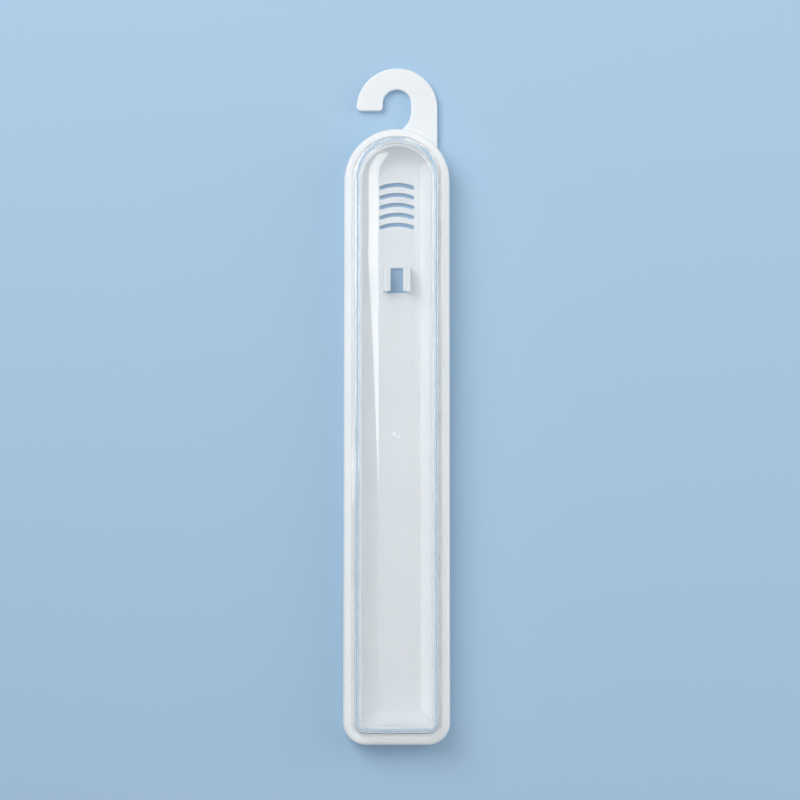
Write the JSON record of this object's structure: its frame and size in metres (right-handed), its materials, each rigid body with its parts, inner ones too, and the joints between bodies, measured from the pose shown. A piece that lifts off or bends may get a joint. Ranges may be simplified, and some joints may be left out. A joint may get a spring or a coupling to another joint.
{
  "type": "toothbrush travel case",
  "caption": "Slim travel case for a toothbrush: a white tray with a hanging hook, floor vents and a neck clip, closed by a clear domed lid that lifts off.",
  "frame": {"origin": "middle of the whole outline, on the flat back face that the case lies on", "axes": "+X across the case, +Y along it from the bottom end to the hook, +Z from the back to the lid"},
  "size_m": [0.0326, 0.21, 0.022],
  "materials": {
    "tray_plastic": "white moulded plastic, satin gloss",
    "lid_plastic": "clear moulded plastic, polished"
  },
  "bodies": {
    "tray": {"base_tray": "tray_plastic"},
    "lid": {"clear_lid": "lid_plastic"}
  },
  "joints": [
    {"name": "lid_lift", "type": "slide", "parent": "tray", "child": "lid", "axis": [0, 0, 1], "range_m": [0, 0.03]}
  ]
}
